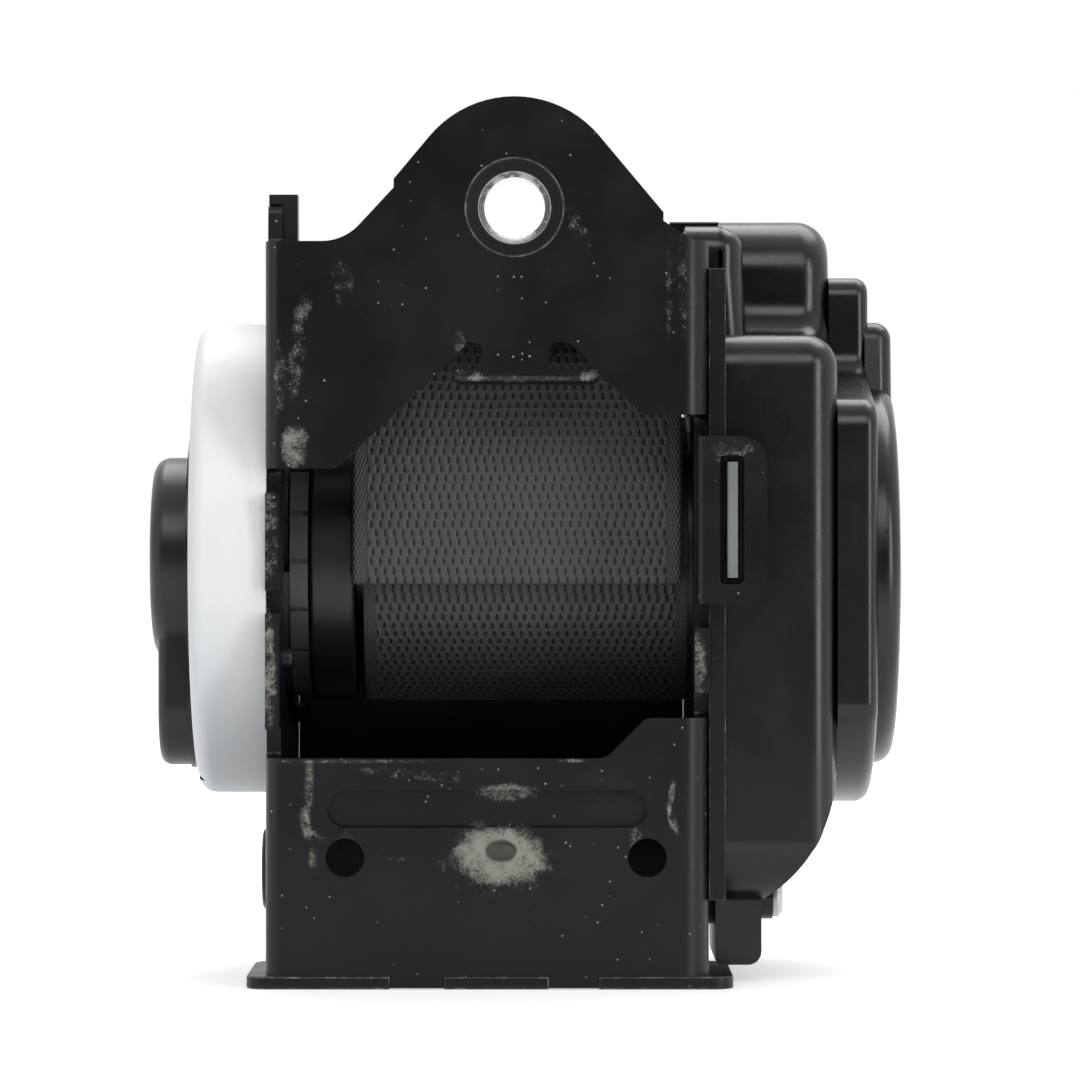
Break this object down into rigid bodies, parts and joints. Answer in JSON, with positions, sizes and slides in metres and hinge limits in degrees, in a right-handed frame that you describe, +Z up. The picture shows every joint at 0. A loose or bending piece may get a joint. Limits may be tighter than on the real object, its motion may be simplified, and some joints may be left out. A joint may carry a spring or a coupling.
{
  "type": "seat belt retractor with pretensioner",
  "caption": "Seat belt retractor in a bent steel frame, with a locking spool of webbing and a rack-driven pretensioner.",
  "frame": {"origin": "centre of the upper bolt hole on the front of the mounting plate", "axes": "+Z up along the mounting plate, -Y out of the bolt hole's mouth, +X along the spool axis to the pretensioner"},
  "size_m": [0.1068, 0.076, 0.1241],
  "materials": {
    "frame_steel": "black e-coat, worn",
    "black_steel": "black e-coat",
    "bright_steel": "zinc plated",
    "die_cast": "as cast",
    "spring_steel": "blued strip",
    "black_plastic": "satin moulded",
    "dark_plastic": "moulded",
    "natural_nylon": "translucent moulded",
    "pale_plastic": "acetal",
    "webbing": "woven polyester",
    "rubber": "matt",
    "contact_brass": "gold flash"
  },
  "bodies": {
    "root": {"frame": "frame_steel", "foot_plate": "frame_steel", "tie_rod": "black_steel", "side_rivet": "black_steel", "webbing_guide": "dark_plastic", "rear_shield": "dark_plastic", "webbing_lead": "webbing", "mechanism_cover": "natural_nylon", "end_cap": "black_plastic", "sensor_housing": "dark_plastic", "base_plate": "black_steel", "base_rivets": "bright_steel", "right_bush": "pale_plastic", "gear_case": "die_cast", "gas_tube": "bright_steel", "gas_generator": "die_cast", "igniter_contacts": "contact_brass", "housing": "black_plastic", "housing_screws": "bright_steel", "spring_cover": "black_plastic"},
    "spool": {"spool": "die_cast", "webbing_roll": "webbing", "webbing_pin": "bright_steel", "torsion_bar": "bright_steel", "spindle": "bright_steel", "lock_head": "die_cast", "pawl_pin": "bright_steel", "pawl_spring": "spring_steel", "lock_disc_spring": "spring_steel", "clutch_hub": "bright_steel", "spring_arbor": "pale_plastic", "return_spring": "spring_steel"},
    "lock_disc": {"lock_disc": "pale_plastic", "inertia_spring": "spring_steel"},
    "lock_pawl": {"lock_pawl": "bright_steel"},
    "inertia_lever": {"inertia_lever": "die_cast"},
    "sensor_ball": {"sensor_ball": "bright_steel"},
    "sensor_lever": {"sensor_lever": "pale_plastic"},
    "rack": {"rack_piston": "die_cast", "piston_seal": "rubber"},
    "pinion": {"pinion": "bright_steel", "clutch_rollers": "bright_steel"}
  },
  "joints": [
    {"name": "spool_turn", "type": "hinge", "parent": "root", "child": "spool", "pos_m": [0, 0.036, -0.0489], "axis": [1, 0, 0], "continuous": true, "deforming": ["return_spring"]},
    {"name": "lock_disc_lag", "type": "hinge", "parent": "spool", "child": "lock_disc", "pos_m": [0, 0.036, -0.0489], "axis": [1, 0, 0], "range_deg": [0, 20], "deforming": ["lock_disc_spring"]},
    {"name": "lock_pawl_swing", "type": "hinge", "parent": "spool", "child": "lock_pawl", "pos_m": [0, 0.02331, -0.05482], "axis": [1, 0, 0], "range_deg": [0, 17], "deforming": ["pawl_spring"]},
    {"name": "inertia_lever_swing", "type": "hinge", "parent": "lock_disc", "child": "inertia_lever", "pos_m": [0, 0.036, -0.0379], "axis": [1, 0, 0], "range_deg": [0, 7], "deforming": ["inertia_spring"]},
    {"name": "sensor_ball_roll", "type": "slide", "parent": "root", "child": "sensor_ball", "axis": [0, 0.766, 0.6428], "range_m": [0, 0.0012]},
    {"name": "sensor_lever_lift", "type": "hinge", "parent": "root", "child": "sensor_lever", "pos_m": [0, 0.0268, -0.0707], "axis": [1, 0, 0], "range_deg": [0, 7]},
    {"name": "rack_stroke", "type": "slide", "parent": "root", "child": "rack", "axis": [0, 0, 1], "range_m": [0, 0.01963]},
    {"name": "pinion_turn", "type": "hinge", "parent": "root", "child": "pinion", "pos_m": [0, 0.036, -0.0489], "axis": [1, 0, 0], "range_deg": [0, 150]}
  ],
  "couplings": [
    {"joint": "lock_pawl_swing", "follows": "lock_disc_lag", "ratio": 0.85},
    {"joint": "pinion_turn", "follows": "rack_stroke", "rad_per_m": 133.33},
    {"joint": "sensor_lever_lift", "follows": "sensor_ball_roll", "rad_per_m": 101.8}
  ]
}
